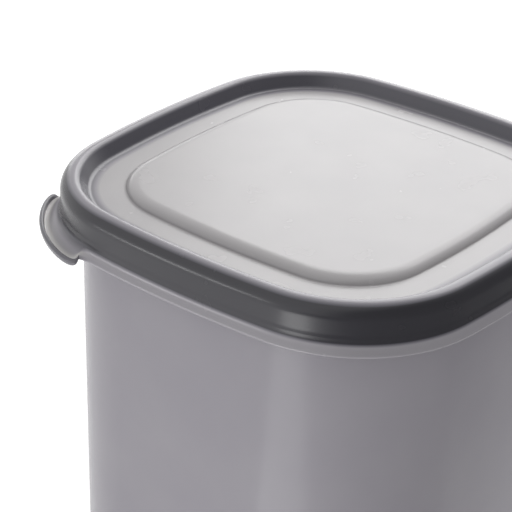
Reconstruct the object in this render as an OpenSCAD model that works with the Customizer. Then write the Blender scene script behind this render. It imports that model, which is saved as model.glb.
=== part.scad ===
// Square dry food bin with rounded corners and a soft press-on lid that peels off by a corner tab.
// Two mouldings. The base lies at z = 0, +Z is up, and the tab is at the -X -Y corner.
// Every outline seen from above is a square with wide round corners. A section is drawn with
// x = 0 at the widest outline and negative x towards the middle, and is carried round it.

/* [Outline] */
// Width and depth across the lip of the lid
lid_w = 172; // [160:1:190]
// Radius of each corner at the lip, seen from above
corner_r = 58; // [50:1:64]
// Height from the table to the crest of the lid
overall_h = 232; // [170:1:300]

/* [Lid] */
// Thickness of the lid moulding
lid_t = 1.8; // [1.4:0.1:2.2]
// Drop from the crest to the underside of the lip
lip_drop = 18; // [16:0.2:21]
// How far the lip flares out past the side band
lip_flare = 2; // [1:0.1:3]
// Height of the flared lip
lip_h = 5.8; // [4:0.1:7]
// Thickness of the lip at its edge
lip_t = 1.3; // [1:0.1:1.8]
// Radius of the outer shoulder of the bead
bead_r = 5; // [4:0.1:5.4]
// Width of the flat crest of the bead
crest_w = 0.8; // [0.4:0.1:2]
// Radius of the inner shoulder of the bead
bead_in_r = 3.6; // [3:0.1:3.6]
// Depth of the channel inside the bead
channel_depth = 5.2; // [5:0.1:7]
// Radius between the bead and the channel floor
channel_r = 1.4; // [1:0.1:1.4]
// Width of the channel floor
channel_w = 10.6; // [8:0.2:14]
// Height of the centre panel above the channel floor
panel_rise = 2.7; // [1.5:0.1:3.6]
// Width of the rounded shoulder of the centre panel
shoulder_w = 4.8; // [3:0.2:8]

/* [Tub] */
// Thickness of the tub wall
wall_t = 2; // [1.5:0.1:2.2]
// Slope of the wall from upright, in degrees
draft = 0.5; // [0.1:0.1:1.5]
// Thickness of the floor of the tub
floor_t = 2.4; // [1.8:0.1:4]
// Radius of the outer bottom edge
bottom_r = 9; // [5:0.5:10]
// Radius inside, where the wall meets the floor
inside_r = 8; // [6:0.5:12]
// Width of the flat foot ring
foot_w = 4.5; // [3:0.5:7]
// Height of the hollow inside the foot ring
foot_h = 3.6; // [1:0.1:5]
// Height of the rim flange that the lid grips
flange_h = 5; // [3:0.1:6]
// Height of the taper under the rim flange
flange_taper = 2; // [1:0.1:3]
// Clearance between the lid and the tub
fit_gap = 0.3; // [0.2:0.05:0.5]

/* [Pull tab] */
// Width of the tab along the corner, as an angle at the corner's centre
tab_angle = 48; // [40:1:50]
// How far round the corner the tab's middle lies from the diagonal
tab_turn = 6; // [-6:0.5:6]
// Reach of the tab past the edge of the lip
tab_reach = 5.8; // [5.4:0.1:6.4]
// Thickness of the tab
tab_t = 1.3; // [1.2:0.1:1.6]
// Fall of the tab from the edge of the lip to its hollow
tab_fall = 2.2; // [1.8:0.1:3]
// Height of the curled finger edge above the hollow
curl_h = 2.2; // [1.8:0.1:3]
// Radius of the rounded ends of the tab
tab_end_r = 3; // [2.4:0.1:3.2]
// Line left free between the lip and the tab, where the moulding thins to flex
hinge_gap = 0.3; // [0.2:0.05:0.5]

/* [Hidden] */

// Lengths that two shapes share are kept to whole microns, so that their faces meet exactly
function whole(v) = round(v * 1000) / 1000;
round_r = whole(corner_r);
// Distance of each corner's centre from the middle, along both axes
corner_c = whole(lid_w / 2) - round_r;

// Number of straight steps in a soft rise, a flare or a rounded shoulder
steps = 4;
// Length by which a flat middle plate runs into the swept section round it
lap = 6;

// Places in the lid's section: insets from the widest outline, and heights above the table
crest_z = whole(overall_h);
lip_z = crest_z - lip_drop;
flare_z = lip_z + lip_h;
band_d = lip_flare;
crest_d1 = band_d + bead_r + crest_w;
wall_d = crest_d1 + bead_in_r;
floor_d1 = wall_d + channel_r + channel_w;
panel_d = floor_d1 + shoulder_w;
lid_end = panel_d + lap;
channel_z = whole(crest_z - channel_depth);
panel_z = whole(channel_z + panel_rise);
panel_under_z = whole(panel_z - lid_t);

// Places in the tub's section, which takes its top from the hollow inside the bead
rim_z = crest_z - lid_t - fit_gap;
rim_r = bead_r - lid_t - fit_gap;
rim_in_r = bead_in_r - lid_t - fit_gap;
flange_d = band_d + lid_t + fit_gap;
flange_z = rim_z - rim_r - flange_h;
wall_z = flange_z - flange_taper;
inner_d = wall_d - lid_t - fit_gap;
outer_d = inner_d - wall_t;
// The wall's inset grows towards the foot by its slope
function sloped(d, z) = d + (wall_z - z) * tan(draft);
hollow_z = whole(foot_h);
floor_z = whole(hollow_z + floor_t);
foot_d0 = sloped(outer_d, bottom_r) + bottom_r;
foot_d1 = foot_d0 + foot_w;
hollow_d = foot_d1 + foot_h;
cup_z = floor_z + inside_r;
cup_d = sloped(inner_d, cup_z) + inside_r;
tub_end = max(hollow_d, cup_d) + lap;

// Points of a soft rise from p to q that starts and ends level
function soft_pts(p, q) =
    [for (i = [0 : steps + 1]) let (t = i / (steps + 1), s = t * t * (3 - 2 * t))
        [p[0] + (q[0] - p[0]) * t, p[1] + (q[1] - p[1]) * s]];
// Points of a quarter ellipse that leaves p upright and rounds over to run level into q
function brow_pts(p, q) =
    [for (i = [0 : steps + 1]) let (a = 90 * i / (steps + 1))
        [q[0] + (p[0] - q[0]) * cos(a), p[1] + (q[1] - p[1]) * sin(a)]];
// Points of a flare that leaves p upright and swings out to q
function flare_pts(p, q) =
    [for (i = [0 : steps]) let (t = i / steps)
        [p[0] + (q[0] - p[0]) * t * t, p[1] + (q[1] - p[1]) * t]];
function reversed(v) = [for (i = [len(v) - 1 : -1 : 0]) v[i]];

// What a round of radius r takes off a square corner. The quarter is 0 for the outer top
// corner, 1 for the inner top, 2 for the inner bottom and 3 for the outer bottom
module corner_off(x, z, r, quarter) translate([x, z]) rotate([0, 0, 90 * quarter])
    translate([-r, -r]) difference() {
        square(r + 1);
        circle(r = r, $fn = 32);
    }

// Carries a section round the outline: four corners and four sides
module carried() {
    for (k = [0 : 3]) rotate([0, 0, 90 * k]) {
        translate([corner_c, corner_c, 0])
            rotate_extrude(angle = 90, $fn = 96) translate([round_r, 0]) children();
        translate([corner_c, corner_c, 0]) rotate([90, 0, 0])
            linear_extrude(2 * corner_c) translate([round_r, 0]) children();
    }
}

// The outline at an inset, as points
function outline_pts(d) =
    [for (k = [0 : 3], i = [0 : 6]) let (a = 15 * i,
        x = corner_c + (round_r - d) * cos(a), y = corner_c + (round_r - d) * sin(a))
        [x * cos(90 * k) - y * sin(90 * k), x * sin(90 * k) + y * cos(90 * k)]];

// Tub: one moulding with a rim flange, a drafted wall, a floor and a foot ring
module bin_body() color([0.58, 0.57, 0.59]) {
    carried() difference() {
        polygon([[-flange_d, rim_z], [-flange_d, flange_z], [-outer_d, wall_z],
            [bottom_r - foot_d0, bottom_r], [bottom_r - foot_d0, 0], [-foot_d1, 0],
            [-hollow_d, hollow_z], [-tub_end, hollow_z], [-tub_end, rim_z]]);
        corner_off(-flange_d, rim_z, rim_r, 0);
        corner_off(-inner_d, rim_z, rim_in_r, 1);
        corner_off(bottom_r - foot_d0, 0, bottom_r, 3);
        difference() {
            polygon([[-inner_d, rim_z + 1], [-inner_d, wall_z], [inside_r - cup_d, cup_z],
                [inside_r - cup_d, floor_z], [-tub_end - 1, floor_z], [-tub_end - 1, rim_z + 1]]);
            corner_off(inside_r - cup_d, floor_z, inside_r, 3);
        }
    }
    translate([0, 0, hollow_z]) linear_extrude(floor_z - hollow_z)
        polygon(outline_pts(tub_end - lap / 2));
}

// The space above the lid inside its bead: the channel, and what is over the centre panel
module above_lid() difference() {
    polygon(concat([[-wall_d, crest_z + 1], [-wall_d, channel_z]],
        brow_pts([-floor_d1, channel_z], [-panel_d, panel_z]),
        [[-lid_end - 1, panel_z], [-lid_end - 1, crest_z + 1]]));
    corner_off(-wall_d, channel_z, channel_r, 3);
}

// The space under the lid: the hollow of the bead that takes the rim, and the inside of the tub
module below_lid() difference() {
    polygon(concat(flare_pts([-band_d - lid_t, flare_z], [-lip_t, lip_z - 0.01]),
        [[-lid_end - 1, lip_z - 0.01], [-lid_end - 1, panel_under_z]],
        reversed(brow_pts([-floor_d1 - lid_t / 2, channel_z - lid_t], [-panel_d, panel_under_z])),
        [[lid_t - wall_d, channel_z - lid_t], [lid_t - wall_d, crest_z - lid_t],
            [-band_d - lid_t, crest_z - lid_t]]));
    corner_off(-band_d - lid_t, crest_z - lid_t, bead_r - lid_t, 0);
    corner_off(lid_t - wall_d, crest_z - lid_t, bead_in_r - lid_t, 1);
}

// Lid: one moulding with a flared lip, a hollow bead, a channel and a raised centre panel
module lid() color([0.72, 0.71, 0.70]) {
    carried() difference() {
        polygon(concat([[-band_d, crest_z]], flare_pts([-band_d, flare_z], [0, lip_z + lip_t / 2]),
            [[-lip_t / 3, lip_z], [-lid_end, lip_z], [-lid_end, crest_z]]));
        corner_off(-band_d, crest_z, bead_r, 0);
        corner_off(-wall_d, crest_z, bead_in_r, 1);
        above_lid();
        below_lid();
        corner_off(lid_t - wall_d, channel_z - lid_t, channel_r, 3);
    }
    translate([0, 0, panel_under_z]) linear_extrude(panel_z - panel_under_z)
        polygon(outline_pts(lid_end - lap / 2));
}

// Places in the tab's section, outwards from the edge of the lip
tab_r0 = round_r + hinge_gap;
tab_r1 = round_r + tab_reach;
tab_z = lip_z + lip_t;
dip_z = tab_z - tab_fall;
curl_z = dip_z + curl_h;
end_r = tab_r1 - tab_end_r;
end_a = tab_angle / 2 - asin(tab_end_r / end_r);

// The tab's section: it falls from the lip into a hollow and curls up to a finger edge
module tab_section() polygon(concat(
    soft_pts([tab_r0, tab_z], [tab_r1 - 2 * tab_t, dip_z]),
    [[tab_r1 - 1.3 * tab_t, dip_z + curl_h / 3], [tab_r1 - tab_t, curl_z - tab_t / 4],
        [tab_r1 - 0.7 * tab_t, curl_z], [tab_r1 - 0.3 * tab_t, curl_z],
        [tab_r1, curl_z - tab_t / 4], [tab_r1 - 0.2 * tab_t, dip_z],
        [tab_r1 - tab_t, dip_z - 0.8 * tab_t], [tab_r1 - 2 * tab_t, dip_z - tab_t]],
    reversed(soft_pts([tab_r0, tab_z - tab_t], [tab_r1 - 3 * tab_t, dip_z - 0.9 * tab_t]))));

// Tab: the section carried round the corner, with its two ends rounded
module pull_tab() color([0.66, 0.65, 0.66])
translate([-corner_c, -corner_c, 0]) rotate([0, 0, 225 + tab_turn]) intersection() {
    rotate([0, 0, -tab_angle / 2]) rotate_extrude(angle = tab_angle, $fn = 96) tab_section();
    union() {
        rotate([0, 0, -end_a]) rotate_extrude(angle = 2 * end_a, $fn = 96)
            translate([tab_r0 - 1, dip_z - 2 * tab_t])
            square([tab_reach + 2, tab_fall + curl_h + 4 * tab_t]);
        for (s = [-1, 1]) rotate([0, 0, s * end_a]) translate([end_r, 0, dip_z - 2 * tab_t])
            cylinder(h = tab_fall + curl_h + 4 * tab_t, r = tab_end_r, $fn = 48);
    }
}

bin_body();
lid();
pull_tab();
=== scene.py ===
"""Looks of a square dry food bin in smoke-tinted plastic with a soft press-on lid.

The tub and the lid are surfaces worked out with numpy: a section is carried round an outline of four
slightly bulged sides and four corner arcs. Insets d are measured inwards from the widest outline and
heights z up from the table, both in millimetres until a mesh is made in metres.
"""
import math

import bpy
import numpy as np
from mathutils import Matrix, Vector


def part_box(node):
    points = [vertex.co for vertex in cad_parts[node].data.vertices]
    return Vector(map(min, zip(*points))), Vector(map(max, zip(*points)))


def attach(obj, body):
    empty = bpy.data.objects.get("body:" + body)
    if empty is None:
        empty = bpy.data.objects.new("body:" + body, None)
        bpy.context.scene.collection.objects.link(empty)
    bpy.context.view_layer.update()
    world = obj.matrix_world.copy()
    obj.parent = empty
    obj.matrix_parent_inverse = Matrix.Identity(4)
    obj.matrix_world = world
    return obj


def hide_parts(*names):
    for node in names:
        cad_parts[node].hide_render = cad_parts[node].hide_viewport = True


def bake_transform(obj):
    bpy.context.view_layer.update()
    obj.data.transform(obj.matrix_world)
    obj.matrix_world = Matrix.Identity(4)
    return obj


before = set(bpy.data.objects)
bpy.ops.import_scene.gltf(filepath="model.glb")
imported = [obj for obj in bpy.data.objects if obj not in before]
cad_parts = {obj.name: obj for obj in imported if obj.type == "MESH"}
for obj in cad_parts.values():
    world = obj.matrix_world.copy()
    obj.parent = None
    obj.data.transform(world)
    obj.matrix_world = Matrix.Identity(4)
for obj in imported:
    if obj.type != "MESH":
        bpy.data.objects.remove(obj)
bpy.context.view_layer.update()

MM = 0.001

# The frame gives the overall sizes
lid_lo, lid_hi = (np.array(c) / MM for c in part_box("lid"))
tub_hi = np.array(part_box("bin_body")[1]) / MM
HALF = (lid_hi[0] - lid_lo[0]) / 2
CREST = lid_hi[2]
RIM = tub_hi[2]

# The outline at its widest, seen from above, and the inset from which it only shrinks towards the
# middle, because its corner arcs would vanish
CORNER_R = 51.9
SIDE_R = 403.5
LAST_INSET = CORNER_R - 6.0

# The lid's section: insets and drops below the crest
LIP_DROP = 17.1
FLARE_DROP = 11.2
BAND_D = 2.0
BEAD_R = 5.0
BEAD_IN_R = 2.8
INNER_SLOPE = 56.0
CHANNEL_DROP = 5.2
CHANNEL_R = 2.0
CHANNEL_EDGE_D = 24.5
PANEL_DROP = 2.5
SHOULDER_W = 4.9
LID_T = 1.8
LIP_T = 1.3
LIP_ROOT_T = LID_T * 0.9
PLUG_D = 9.6
PLUG_R = 1.5

# The flare of the lip below the band: steps outwards and down
FLARE_BENDS = ((0, 0), (0.15, 1.6), (0.7, 3.4))

# The channel and the panel have rounder corners than the lip: by how much, and the insets over which
# the corners change
PANEL_EXTRA_R = 2.9
PANEL_TURN_D = 15.0
PANEL_TURN_W = 7.0

# Strips beside the channel's two edges in which points lie closer
EDGE_STRIP = 3.0

# The pull tab on the lip of the -X -Y corner: the corner's number, the turn from its diagonal, half
# the tab's length along the lip, its reach and its section as insets and heights above the crest
TAB_CORNER = 2
TAB_TURN = 8.0
TAB_ANGLE = math.radians(225 + TAB_TURN)
TAB_HALF = 23.0
TAB_REACH = 5.8
TAB_PATH = np.array([(2.65, -11.2), (2.3, -13.2), (1.3, -15.2), (-0.4, -16.9), (-2.1, -18.2),
                     (-3.5, -18.7), (-4.5, -18.0), (-4.8, -16.8)])

# The tab's finger edge: thickness, and the share of the section where it starts and that it takes
TAB_EDGE_T = 1.7
TAB_EDGE_START = 0.6
TAB_EDGE_SHARE = 0.3

# The tab's ends: how square they are, the fillets where they leave the lip and their swell
TAB_END_POWER = 7
TAB_FILLET = 0.24
TAB_FILLET_W = 2.4
TAB_BULGE = 6.0

# Lightness of the tinted plastic, from the thin middle of the lid to the doubled bead, with painted
# highlight on the crest and the tab's gutter and painted shade on the bead's sides and the tab
PANEL_TONE = 0.50
EDGE_TONE = 0.50
CHANNEL_TONE = 0.50
# The fillet, inner wall, bead side and band are darker both as deeper tint where the plastic doubles
# and as painted shade
FILLET_TINT_AND_SHADE_TONE = 0.22
DEEP_TINT_AND_SHADE_TONE = 0.04
INNER_TINT_AND_SHADE_TONE = 0.105
# Painted highlight: the crest's light tones are a painted reflection of the light above
CREST_HIGHLIGHT_TONE = 0.34
HIGHLIGHT_EDGE_TONE = CREST_HIGHLIGHT_TONE * 0.85
BAND_TINT_AND_SHADE_TONE = 0.045
LIP_TONE = 0.38
# Painted shade on the tab's back
TAB_BACK_SHADE_TONE = 0.14
TUB_TONE = 0.355

# Angles on the bead where the crest's painted highlight ends and where the painted shade of the dark
# side starts
HIGHLIGHT_END_A = 74
SHADE_START_A = 52

# Lightness along the sheet: places from root to tip, and the tones there. The lip starts with the
# band's tint and painted shade; the tab's tones are painted shade at its root and finger edge and a
# painted highlight along its gutter
LIP_PLACES = (0, 0.35, 0.6, 1)
LIP_TONES = (BAND_TINT_AND_SHADE_TONE, BAND_TINT_AND_SHADE_TONE, LIP_TONE, LIP_TONE)
TAB_PLACES = (0, 0.2, 0.36, 0.5, 0.62, 0.86, 0.93)
TAB_SHADE_AND_HIGHLIGHT_TONES = (0.04, 0.14, 0.34, 0.42, 0.95, 0.95, 0.14)

# Share of the painted shade on the tab's back along the sheet's lower side, from tip to root
BACK_SHADE_PLACES = (0, 0.4, 1)
BACK_SHADE_SHARES = (1, 1, 0)

# The tub's section. The taper under the flange runs between two drops below the rim.
WALL_T = 2.0
WALL_D = 7.3
DRAFT = math.tan(math.radians(0.5))
BOTTOM_R = 9.0
FLOOR_T = 2.4
FOOT_W = 4.5
FOOT_H = 3.6
RIM_R = 2.6
TAPER_TOP = 7.9
TAPER_FOOT = 9.9
GRIP_GAP = 0.35

# The tub's wall has rounder corners than its rim: by how much, and the drops below the rim over
# which the corners change
TUB_EXTRA_R = 7.5
TUB_TURN_DROP = 6
TUB_TURN_H = 12


def arcs(extra):
    """Corner arcs' radius, their centre's distance and the side arcs' half angle, for a corner radius
    that is larger by extra: the two arcs touch where the line through their centres crosses them."""
    r = CORNER_R + extra
    off = SIDE_R - HALF
    gap = SIDE_R - r
    c = (-off + math.sqrt(2 * gap * gap - off * off)) / 2
    return r, c, math.atan2(c, c + off)


def outline(extra=0.0, fine_corner=None, corner_steps=44, side_steps=14, fine_steps=240):
    """Centres, radii and outward angles of points round the outline, counterclockwise from the middle
    of the +X side. The corner whose number is fine_corner has more steps."""
    corner_r, corner_c, side_a = arcs(extra)
    side_c = HALF - SIDE_R
    centres, radii, angles = [], [], []
    for k in range(4):
        turn = math.pi / 2 * k
        c, s = math.cos(turn), math.sin(turn)
        steps = fine_steps if k == fine_corner else corner_steps
        spans = (((side_c, 0), SIDE_R, 0, side_a, side_steps),
                 ((corner_c, corner_c), corner_r, side_a, math.pi / 2 - side_a, steps),
                 ((0, side_c), SIDE_R, math.pi / 2 - side_a, math.pi / 2, side_steps))
        for place, r, a0, a1, n in spans:
            centre = (place[0] * c - place[1] * s, place[0] * s + place[1] * c)
            centres.append(np.tile(centre, (n, 1)))
            radii.append(np.full(n, r))
            angles.append(np.linspace(a0, a1, n, endpoint=False) + turn)
    return np.concatenate(centres), np.concatenate(radii), np.concatenate(angles)


def carry(ring, d, z):
    """Points of the outline at insets d and heights z, for arrays of rings by sections: each is its
    arc's centre plus the arc's radius less the inset, outwards. Past the last inset the outline
    shrinks evenly towards the middle."""
    centres, radii, angles = ring
    normal = np.stack([np.cos(angles), np.sin(angles)], -1)
    held = np.minimum(d, LAST_INSET)
    xy = centres[:, None, :] + (radii[:, None, None] - held[..., None]) * normal[:, None, :]
    shrink = np.clip((HALF - d) / (HALF - LAST_INSET), 0, 1)
    xy = np.where((d > LAST_INSET)[..., None], xy * shrink[..., None], xy)
    return np.concatenate([xy, z[..., None] + 0 * xy[..., :1]], -1) * MM


def closed_mesh(name, grid, tone):
    """Mesh of a grid of rings by sections: quads between neighbours, and a fan at each end, where the
    section starts and ends at the middle of the part. Faces point to the left of the section."""
    rings, count, _ = grid.shape
    inner = grid[:, 1:-1].reshape(-1, 3)
    poles = np.array([grid[:, 0].mean(0), grid[:, -1].mean(0)])
    verts = np.concatenate([inner, poles])
    width = count - 2
    i, j = np.meshgrid(np.arange(rings), np.arange(width - 1), indexing="ij")
    n = (i + 1) % rings
    quads = np.stack([i * width + j, i * width + j + 1, n * width + j + 1, n * width + j], -1)
    r = np.arange(rings)
    nr = (r + 1) % rings
    top = np.stack([np.full(rings, rings * width), r * width, nr * width], -1)
    under = np.stack([np.full(rings, rings * width + 1), nr * width + width - 1,
                      r * width + width - 1], -1)
    mesh = bpy.data.meshes.new(name)
    faces = quads.reshape(-1, 4).tolist() + top.tolist() + under.tolist()
    mesh.from_pydata(verts.tolist(), [], faces)
    mesh.polygons.foreach_set("use_smooth", np.ones(len(mesh.polygons), bool))
    tones = np.concatenate([tone[:, 1:-1].reshape(-1), [tone[0, 0], tone[0, -1]]])
    attribute = mesh.attributes.new("tone", "FLOAT", "POINT")
    attribute.data.foreach_set("value", tones.astype(np.float32))
    mesh.update()
    piece = bpy.data.objects.new(name, mesh)
    bpy.context.scene.collection.objects.link(piece)
    return piece


def smooth(t):
    """Cubic step from 0 to 1 that starts and ends level."""
    t = np.clip(t, 0, 1)
    return t * t * (3 - 2 * t)


def line(p, q, n):
    """n points from p towards q, without q."""
    t = np.linspace(0, 1, n, endpoint=False)[:, None]
    return np.array(p) + (np.array(q) - np.array(p)) * t


def bend(centre, r, a, b, n):
    """n points of an arc about centre from angle a to angle b in degrees, without the last. An angle
    is turned from outwards towards up, so 0 is outwards and 90 is up."""
    t = np.radians(np.linspace(a, b, n, endpoint=False))
    return np.array(centre) + r * np.stack([-np.cos(t), np.sin(t)], -1)


def soft(p, q, n):
    """n points of a rise from p towards q that starts and ends level, without q."""
    t = np.linspace(0, 1, n, endpoint=False)
    return np.stack([p[0] + (q[0] - p[0]) * t, p[1] + (q[1] - p[1]) * smooth(t)], -1)


def brow(p, q, n):
    """n points of a quarter ellipse that starts level at p and ends upright at q, without q."""
    t = np.linspace(0, math.pi / 2, n, endpoint=False)
    return np.stack([p[0] + (q[0] - p[0]) * np.sin(t), q[1] + (p[1] - q[1]) * np.cos(t)], -1)


def spline(points, n):
    """n points, both ends included and even in their number between the given ones, of the cubic
    curve that passes each given point along the line between its two neighbours."""
    p = np.array(points, float)
    p = np.concatenate([[2 * p[0] - p[1]], p, [2 * p[-1] - p[-2]]])
    u = np.linspace(0, len(points) - 1, n)
    k = np.minimum(u.astype(int), len(points) - 2)
    t = (u - k)[:, None]
    a, b, c, d = p[k], p[k + 1], p[k + 2], p[k + 3]
    return 0.5 * (2 * b + (c - a) * t + (2 * a - 5 * b + 4 * c - d) * t ** 2
                  + (3 * b - a - 3 * c + d) * t ** 3)


def tinted(points, first, last):
    """Section points with a lightness that runs evenly from first to last."""
    points = np.array(points, float)
    return np.column_stack([points, np.linspace(first, last, len(points))])


# Insets and heights that the lid's sections share
CREST_D = BAND_D + BEAD_R
BEAD_Z = CREST - BEAD_R
CHANNEL_Z = CREST - CHANNEL_DROP
PANEL_D = CHANNEL_EDGE_D + SHOULDER_W
PANEL_Z = CREST - PANEL_DROP
FLARE_Z = CREST - FLARE_DROP
LIP_Z = CREST - LIP_DROP
SHEET_STEPS = 40


def lid_top():
    """Upper section of the lid from the middle of the panel out over the bead and down the band, with
    its lightness: the tint is light on the thin middle, the crest carries a painted highlight, and the
    bead's sides are dark from deeper tint where the plastic doubles and from painted shade."""
    slope = math.radians(INNER_SLOPE)
    top = (CREST_D + BEAD_IN_R * math.sin(slope), CREST - BEAD_IN_R * (1 - math.cos(slope)))
    foot_z = CHANNEL_Z + CHANNEL_R * (1 - math.cos(slope))
    foot = (top[0] + (top[1] - foot_z) / math.tan(slope), foot_z)
    floor_d = foot[0] + CHANNEL_R * math.sin(slope)
    panel_strip = (PANEL_D + EDGE_STRIP, PANEL_Z)
    floor_strip = (floor_d + EDGE_STRIP, CHANNEL_Z)
    bead = (CREST_D, BEAD_Z)
    return np.concatenate([
        tinted(line((HALF, PANEL_Z), panel_strip, 12), PANEL_TONE, PANEL_TONE),
        tinted(line(panel_strip, (PANEL_D, PANEL_Z), 4), PANEL_TONE, PANEL_TONE),
        tinted(brow((PANEL_D, PANEL_Z), (CHANNEL_EDGE_D, CHANNEL_Z), 18), PANEL_TONE, EDGE_TONE),
        tinted(line((CHANNEL_EDGE_D, CHANNEL_Z), floor_strip, 8), CHANNEL_TONE, CHANNEL_TONE),
        # Painted shade and deeper tint darken the floor towards the crease and up the inner wall
        tinted(line(floor_strip, (floor_d, CHANNEL_Z), 8), CHANNEL_TONE, FILLET_TINT_AND_SHADE_TONE),
        tinted(bend((floor_d, CHANNEL_Z + CHANNEL_R), CHANNEL_R, -90, INNER_SLOPE - 90, 8),
               FILLET_TINT_AND_SHADE_TONE, INNER_TINT_AND_SHADE_TONE),
        tinted(line(foot, top, 6), INNER_TINT_AND_SHADE_TONE, INNER_TINT_AND_SHADE_TONE),
        tinted(bend((CREST_D, CREST - BEAD_IN_R), BEAD_IN_R, 90 + INNER_SLOPE, 90, 14),
               INNER_TINT_AND_SHADE_TONE, CREST_HIGHLIGHT_TONE),
        # Painted highlight along the bead's crest
        tinted(bend(bead, BEAD_R, 90, HIGHLIGHT_END_A, 6), CREST_HIGHLIGHT_TONE, HIGHLIGHT_EDGE_TONE),
        # Painted shade with the doubled plastic's deeper tint down the bead's outer side and band
        tinted(bend(bead, BEAD_R, HIGHLIGHT_END_A, SHADE_START_A, 8), HIGHLIGHT_EDGE_TONE, DEEP_TINT_AND_SHADE_TONE),
        tinted(bend(bead, BEAD_R, SHADE_START_A, 0, 12), DEEP_TINT_AND_SHADE_TONE, BAND_TINT_AND_SHADE_TONE),
        tinted(line((BAND_D, BEAD_Z), (BAND_D, FLARE_Z), 8), BAND_TINT_AND_SHADE_TONE, BAND_TINT_AND_SHADE_TONE),
    ])


def lid_under():
    """Lower section of the lid from inside the flare up round the bead's hollow and back inwards."""
    skirt = BAND_D + LID_T
    ceiling = CREST - LID_T
    under_z = CHANNEL_Z - LID_T
    edge = CHANNEL_EDGE_D + LID_T / 2
    panel_z = PANEL_Z - LID_T
    points = np.concatenate([
        line((skirt, FLARE_Z), (skirt, BEAD_Z), 6)[1:],
        bend((CREST_D, BEAD_Z), BEAD_R - LID_T, 0, 90, 8),
        line((CREST_D, ceiling), (PLUG_D - PLUG_R, ceiling), 3),
        bend((PLUG_D - PLUG_R, ceiling - PLUG_R), PLUG_R, 90, 180, 7),
        line((PLUG_D, ceiling - PLUG_R), (PLUG_D, under_z + PLUG_R), 4),
        bend((PLUG_D + PLUG_R, under_z + PLUG_R), PLUG_R, 0, -90, 7),
        line((PLUG_D + PLUG_R, under_z), (edge, under_z), 6),
        brow((PANEL_D, panel_z), (edge, under_z), 12)[::-1],
        line((PANEL_D, panel_z), (HALF, panel_z), 12)[1:],
        [(HALF, panel_z)],
    ])
    return tinted(points, CHANNEL_TONE, CHANNEL_TONE)


def sheet(middle, thick):
    """Sections of a thin sheet about their middle lines: out along the upper side, round the tip and
    back along the lower side. Each side lies half the thickness off the middle line, square to it.
    Negative insets reach out past the widest outline."""
    step = np.gradient(middle, axis=-2)
    step /= np.linalg.norm(step, axis=-1, keepdims=True)
    normal = np.stack([step[..., 1], -step[..., 0]], -1)
    half = thick[..., None] / 2
    upper, lower = middle + normal * half, middle - normal * half
    turn = np.radians(np.linspace(90, -90, 9)[1:-1])
    tip = (middle[..., -1:, :] + half[..., -1:, :] * (
        np.cos(turn)[:, None] * step[..., -1:, :] + np.sin(turn)[:, None] * normal[..., -1:, :]))
    return np.concatenate([upper, tip, lower[..., ::-1, :]], -2)


def tab_share(v):
    """How much of the tab there is at distance v along the lip from its middle: all of it, with
    rounded ends, and a small fillet where each end leaves the lip."""
    u = np.abs(v) / TAB_HALF
    body = np.clip(1 - np.clip(u, 0, 1) ** TAB_END_POWER, 0, 1) ** 0.5
    fillet = TAB_FILLET * np.exp(-np.abs(np.abs(v) - TAB_HALF) / TAB_FILLET_W)
    return np.maximum(body, fillet)


def lip_sheet(share):
    """Sections of the lip round the outline with their lightness, for the tab's share at each. The
    middle line, the thickness and the lightness go from the plain lip's to the tab's by that share."""
    start = BAND_D + LIP_T / 2
    flare = [(start - out, FLARE_Z - down) for out, down in FLARE_BENDS]
    plain = spline(flare + [(LIP_T / 2, LIP_Z + LIP_T / 2)], SHEET_STEPS)
    tab = spline(TAB_PATH + np.array([0, CREST]), SHEET_STEPS)
    middle = plain + (tab - plain) * share[..., None]
    t = np.linspace(0, 1, SHEET_STEPS)
    edge = LIP_T + (TAB_EDGE_T - LIP_T) * share
    thick = (LIP_ROOT_T + (LIP_T - LIP_ROOT_T) * t
             + (edge - LIP_T) * smooth((t - TAB_EDGE_START) / TAB_EDGE_SHARE))
    lip = sheet(middle, thick)
    outside = np.interp(t, LIP_PLACES, LIP_TONES)
    # The tab's tones hold painted shade at its root and finger edge and a painted highlight along its
    # gutter
    outside = outside + (np.interp(t, TAB_PLACES, TAB_SHADE_AND_HIGHLIGHT_TONES) - outside) * share
    back_t = np.linspace(0, 1, lip.shape[1] - SHEET_STEPS)
    # Painted shade along the tab's back, from its tip towards its root
    inside = (LIP_TONE
              + (TAB_BACK_SHADE_TONE - LIP_TONE) * share * np.interp(back_t, BACK_SHADE_PLACES, BACK_SHADE_SHARES))
    tone = np.concatenate([outside, inside], 1)
    return np.concatenate([lip, tone[..., None]], -1)


def swell(angles, along, d):
    """Sideways move of the tab's points, in millimetres along the lip: away from the tab's middle,
    growing towards its two ends and with the reach past the widest outline."""
    reach = np.clip(-d / TAB_REACH, 0, 1)
    bulge = TAB_BULGE * smooth(np.abs(along) / TAB_HALF * 1.4 - 0.4)[:, None] * smooth(reach * 1.1)
    side = np.stack([-np.sin(angles), np.cos(angles)], -1)[:, None, :]
    inside = (np.abs(along) < TAB_HALF)[:, None]
    return side * (np.sign(along)[:, None] * bulge * inside)[..., None]


def lid_grid():
    """Grid of the whole lid and its lightness: the top section, the lip's sheet, which swells into the
    tab at one corner, and the lower section."""
    ring = outline(0.0, TAB_CORNER)
    inner_ring = outline(PANEL_EXTRA_R, TAB_CORNER)
    angles = ring[2]
    along = CORNER_R * (angles - TAB_ANGLE)
    top, under = (np.broadcast_to(part, (len(angles),) + part.shape)
                  for part in (lid_top(), lid_under()))
    section = np.concatenate([top, lip_sheet(tab_share(along)[:, None]), under], 1)
    d, z, tone = (section[..., k] for k in range(3))
    inner = smooth((d - PANEL_TURN_D) / PANEL_TURN_W)[..., None]
    grid = carry(ring, d, z) * (1 - inner) + carry(inner_ring, d, z) * inner
    grid[..., :2] += swell(angles, along, d) * MM
    return grid, tone


def wall_d(z):
    """Inset of the tub's outer wall at height z: the draft brings it in evenly below the rim."""
    return WALL_D + (RIM - z) * DRAFT


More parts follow.
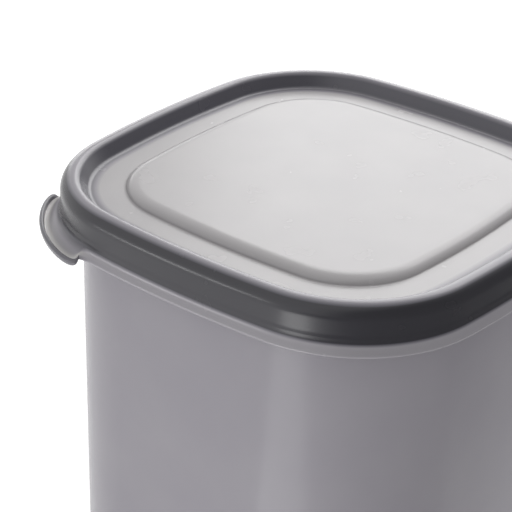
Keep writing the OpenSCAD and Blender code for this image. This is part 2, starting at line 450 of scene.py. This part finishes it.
def tub_section():
    """Section of the tub from the middle of the foot's hollow out, up the wall, over the rim and down
    the inside to the middle of the floor."""
    flange = BAND_D + LID_T + GRIP_GAP
    foot = wall_d(BOTTOM_R) + BOTTOM_R
    hollow = foot + FOOT_W + FOOT_H
    floor_z = FOOT_H + FLOOR_T
    cup = wall_d(floor_z + BOTTOM_R) + WALL_T + BOTTOM_R
    inner = WALL_D + WALL_T
    taper_foot = (wall_d(RIM - TAPER_FOOT), RIM - TAPER_FOOT)
    return np.concatenate([
        line((HALF, FOOT_H), (hollow, FOOT_H), 10),
        soft((hollow, FOOT_H), (foot + FOOT_W, 0), 8),
        line((foot + FOOT_W, 0), (foot, 0), 3),
        bend((foot, BOTTOM_R), BOTTOM_R, -90, 0, 12),
        line((wall_d(BOTTOM_R), BOTTOM_R), taper_foot, 40),
        line(taper_foot, (flange, RIM - TAPER_TOP), 4),
        line((flange, RIM - TAPER_TOP), (flange, RIM - RIM_R), 4),
        bend((flange + RIM_R, RIM - RIM_R), RIM_R, 0, 90, 8),
        line((flange + RIM_R, RIM), (inner - PLUG_R, RIM), 3),
        bend((inner - PLUG_R, RIM - PLUG_R), PLUG_R, 90, 180, 5),
        line((inner, RIM - PLUG_R), (cup - BOTTOM_R, floor_z + BOTTOM_R), 40),
        bend((cup, floor_z + BOTTOM_R), BOTTOM_R, 0, -90, 12),
        line((cup, floor_z), (HALF, floor_z), 10),
        [(HALF, floor_z)],
    ])


def principled(name):
    """A material, its node tree and its Principled shader."""
    material = bpy.data.materials.new(name)
    material.use_nodes = True
    return material, material.node_tree, material.node_tree.nodes["Principled BSDF"]


def reckon(tree, operation, *values):
    """Output of a Math node whose inputs are numbers or the outputs of other nodes."""
    node = tree.nodes.new("ShaderNodeMath")
    node.operation = operation
    for socket, value in zip(node.inputs, values):
        if isinstance(value, float):
            socket.default_value = value
        else:
            tree.links.new(value, socket)
    return node.outputs[0]


def remap(tree, value, start, end, low, high):
    """A Map Range node that takes value from the range start to end to the range low to high."""
    node = tree.nodes.new("ShaderNodeMapRange")
    tree.links.new(value, node.inputs["Value"])
    node.inputs["From Min"].default_value = start
    node.inputs["From Max"].default_value = end
    node.inputs["To Min"].default_value = low
    node.inputs["To Max"].default_value = high
    return node


def noise(tree, scale, detail):
    """Noise on Object coordinates, in metres."""
    where = tree.nodes.new("ShaderNodeTexCoord")
    texture = tree.nodes.new("ShaderNodeTexNoise")
    texture.inputs["Scale"].default_value = scale
    texture.inputs["Detail"].default_value = detail
    tree.links.new(where.outputs["Object"], texture.inputs["Vector"])
    return texture.outputs["Fac"]


# Smoke tint by lightness: violet in the depths, where deeper tint and painted shade lie, warm where
# the plastic is thin and where highlights are painted
SMOKE_TINTS = ((0.1, (0.97, 0.94, 1.13)), (0.35, (1.0, 0.955, 1.055)), (0.6, (1.03, 1.0, 0.985)))
PALE_SMOKE = (0.98, 0.96, 0.95, 1)

# Roughness, specular level and coat of the two mouldings, and what they share
LID_FINISH = (0.26, 0.5, 0.1)
TUB_FINISH = (0.24, 0.2, 0.0)
ROUGH_SWING = 0.04
COAT_ROUGH = 0.2


def smoke_plastic(name, rough, level, coat):
    """Smoke-tinted plastic. The tone attribute is its lightness, which on the lid also holds painted
    highlight and painted shade; faint clouds vary it by 3 percent, and the ramp gives each lightness
    its tint. Smaller clouds vary the roughness."""
    material, tree, shader = principled(name)
    tone = tree.nodes.new("ShaderNodeAttribute")
    tone.attribute_name = "tone"
    clouds = remap(tree, noise(tree, 28.0, 3.0), 0.3, 0.7, 0.97, 1.03)
    lightness = reckon(tree, "MULTIPLY", tone.outputs["Fac"], clouds.outputs["Result"])
    ramp = tree.nodes.new("ShaderNodeValToRGB")
    ramp.color_ramp.elements[0].color = (0, 0, 0, 1)
    ramp.color_ramp.elements[1].color = PALE_SMOKE
    for place, tint in SMOKE_TINTS:
        ramp.color_ramp.elements.new(place).color = (*(place * np.array(tint)), 1)
    tree.links.new(lightness, ramp.inputs["Fac"])
    tree.links.new(ramp.outputs["Color"], shader.inputs["Base Color"])
    spread = remap(tree, noise(tree, 90.0, 2.0), 0, 1, rough - ROUGH_SWING, rough + ROUGH_SWING)
    tree.links.new(spread.outputs["Result"], shader.inputs["Roughness"])
    shader.inputs["IOR"].default_value = 1.5
    shader.inputs["Specular IOR Level"].default_value = level
    shader.inputs["Coat Weight"].default_value = coat
    shader.inputs["Coat Roughness"].default_value = COAT_ROUGH
    return material


def add_lid():
    """The lid and its tab in one piece."""
    grid, tone = lid_grid()
    piece = closed_mesh("lid_moulding", grid, tone)
    piece.data.materials.append(smoke_plastic("lid_smoke", *LID_FINISH))
    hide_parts("lid", "pull_tab")
    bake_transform(piece)


def add_tub():
    """The tub, all in one piece. Its corners are rounder below the rim."""
    section = tub_section()
    ring, wall_ring = outline(), outline(TUB_EXTRA_R)
    section = np.broadcast_to(section, (len(ring[1]),) + section.shape)
    d, z = section[..., 0], section[..., 1]
    below = smooth((RIM - z - TUB_TURN_DROP) / TUB_TURN_H)[..., None]
    grid = carry(ring, d, z) * (1 - below) + carry(wall_ring, d, z) * below
    tone = np.full(section.shape[:2], TUB_TONE)
    piece = closed_mesh("tub_moulding", grid[:, ::-1], tone)
    piece.data.materials.append(smoke_plastic("tub_smoke", *TUB_FINISH))
    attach(piece, "tub")
    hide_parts("bin_body")


# Camera, fitted to the lid's edges in the photograph: turn about the vertical, height angle,
# distance, shifts of the aim across the view, focal length, picture's width and place of the
# optical axis across it
CAM_TURN = math.radians(42.545)
CAM_UP = math.radians(28.612)
CAM_DISTANCE = 648.1
CAM_SHIFT = (67.728, 29.756)
FOCAL_PX = 1838.0
PICTURE_PX = 512
AXIS_X_PX = 140


def add_camera():
    """Camera at the photograph's angle. It looks along -back from a point at CAM_DISTANCE."""
    right = np.array([math.cos(CAM_TURN), math.sin(CAM_TURN), 0])
    back = np.array([math.sin(CAM_TURN) * math.cos(CAM_UP),
                     -math.cos(CAM_TURN) * math.cos(CAM_UP), math.sin(CAM_UP)])
    up = np.cross(back, right)
    place = (np.array([0, 0, CREST]) + back * CAM_DISTANCE
             - right * CAM_SHIFT[0] - up * CAM_SHIFT[1])
    data = bpy.data.cameras.new("camera")
    data.sensor_width = 36.0
    data.lens = FOCAL_PX / PICTURE_PX * data.sensor_width
    data.shift_x = (PICTURE_PX / 2 - AXIS_X_PX) / PICTURE_PX
    data.clip_end = 20
    camera = bpy.data.objects.new("camera", data)
    bpy.context.scene.collection.objects.link(camera)
    turn = Matrix((right.tolist(), up.tolist(), back.tolist())).transposed().to_4x4()
    turn.translation = (place * MM).tolist()
    camera.matrix_world = turn
    bpy.context.scene.camera = camera


# Light of the surroundings on the object, what gloss still sees of them towards +X, the floor's half
# width and how far it is lifted to white
AMBIENT = 0.55
DARK_LEAST = 0.12
FLOOR_HALF = 6.0
FLOOR_LIFT = 0.45

# Lamps above, beside and behind the bin, and one that lies on the table: name, place, aim, width,
# height and power
LID_MIDDLE = (0, 0, CREST * MM)
LAMPS = (
    ("key_light", (-0.5, 1.3, 1.25), LID_MIDDLE, 1.2, 1.2, 11),
    ("strip_light", (-0.636, -1.018, 0.26), LID_MIDDLE, 0.5, 0.1, 1.1),
    ("back_glow", (-0.95, 1.05, 0.36), LID_MIDDLE, 1.2, 0.45, 2.5),
    ("table_glow", (0.03, -0.41, 0.002), (0.03, -0.41, 1), 0.15, 0.42, 0.55),
)


def area_light(name, place, aim, width, height, power):
    """Soft rectangular light at place, turned towards aim, which the camera doesn't see."""
    data = bpy.data.lights.new(name, "AREA")
    data.shape = "RECTANGLE"
    data.size = width
    data.size_y = height
    data.energy = power
    lamp = bpy.data.objects.new(name, data)
    bpy.context.scene.collection.objects.link(lamp)
    lamp.location = place
    lamp.rotation_euler = (Vector(place) - Vector(aim)).to_track_quat("Z", "Y").to_euler()
    lamp.visible_camera = False


def seen_white(tree, lift):
    """What is added for the camera, gloss and clear pieces: lift for their rays, and nothing for the
    rays that light the object."""
    path = tree.nodes.new("ShaderNodeLightPath")
    seen = reckon(tree, "MAXIMUM", path.outputs["Is Camera Ray"], path.outputs["Is Glossy Ray"])
    seen = reckon(tree, "MAXIMUM", seen, path.outputs["Is Transmission Ray"])
    return reckon(tree, "MULTIPLY", seen, lift)


def dark_side(tree, where, start, end):
    """Share of light that gloss sees: full towards -X, and falling to the least between start and
    end along +X. What the camera sees and what lights the object stay as they are."""
    place = tree.nodes.new("ShaderNodeTexCoord")
    parts = tree.nodes.new("ShaderNodeSeparateXYZ")
    tree.links.new(place.outputs[where], parts.inputs[0])
    fall = remap(tree, parts.outputs["X"], start, end, 0.0, 1 - DARK_LEAST)
    fall.interpolation_type = "SMOOTHSTEP"
    path = tree.nodes.new("ShaderNodeLightPath")
    loss = reckon(tree, "MULTIPLY", path.outputs["Is Glossy Ray"], fall.outputs["Result"])
    return reckon(tree, "SUBTRACT", 1.0, loss)


def add_surroundings():
    """White world: a plain ambient light, lifted to white where it is seen."""
    world = bpy.data.worlds.new("studio")
    bpy.context.scene.world = world
    world.use_nodes = True
    tree = world.node_tree
    back = tree.nodes["Background"]
    back.inputs["Color"].default_value = (1, 1, 1, 1)
    strength = reckon(tree, "ADD", seen_white(tree, 1 - AMBIENT), AMBIENT)
    shade = reckon(tree, "MULTIPLY", strength, dark_side(tree, "Generated", 0.1, 0.6))
    tree.links.new(shade, back.inputs["Strength"])


def add_floor():
    """White floor, which keeps the bin's shadow."""
    mesh = bpy.data.meshes.new("floor")
    r = FLOOR_HALF
    mesh.from_pydata([(-r, -r, 0), (r, -r, 0), (r, r, 0), (-r, r, 0)], [], [(0, 1, 2, 3)])
    floor = bpy.data.objects.new("floor", mesh)
    bpy.context.scene.collection.objects.link(floor)
    material, tree, shader = principled("floor_white")
    shader.inputs["Base Color"].default_value = (0.85, 0.85, 0.85, 1)
    shader.inputs["Roughness"].default_value = 0.9
    shader.inputs["Specular IOR Level"].default_value = 0.1
    shader.inputs["Emission Color"].default_value = (1, 1, 1, 1)
    tree.links.new(seen_white(tree, FLOOR_LIFT), shader.inputs["Emission Strength"])
    dark = tree.nodes.new("ShaderNodeEmission")
    dark.inputs["Color"].default_value = (0, 0, 0, 1)
    mix = tree.nodes.new("ShaderNodeMixShader")
    tree.links.new(dark_side(tree, "Object", 0.1, 0.3), mix.inputs["Fac"])
    tree.links.new(dark.outputs[0], mix.inputs[1])
    tree.links.new(shader.outputs[0], mix.inputs[2])
    tree.links.new(mix.outputs[0], tree.nodes["Material Output"].inputs["Surface"])
    mesh.materials.append(material)


add_camera()
add_tub()
add_lid()
add_surroundings()
add_floor()
for lamp_facts in LAMPS:
    area_light(*lamp_facts)
bpy.context.scene.view_settings.view_transform = "Standard"
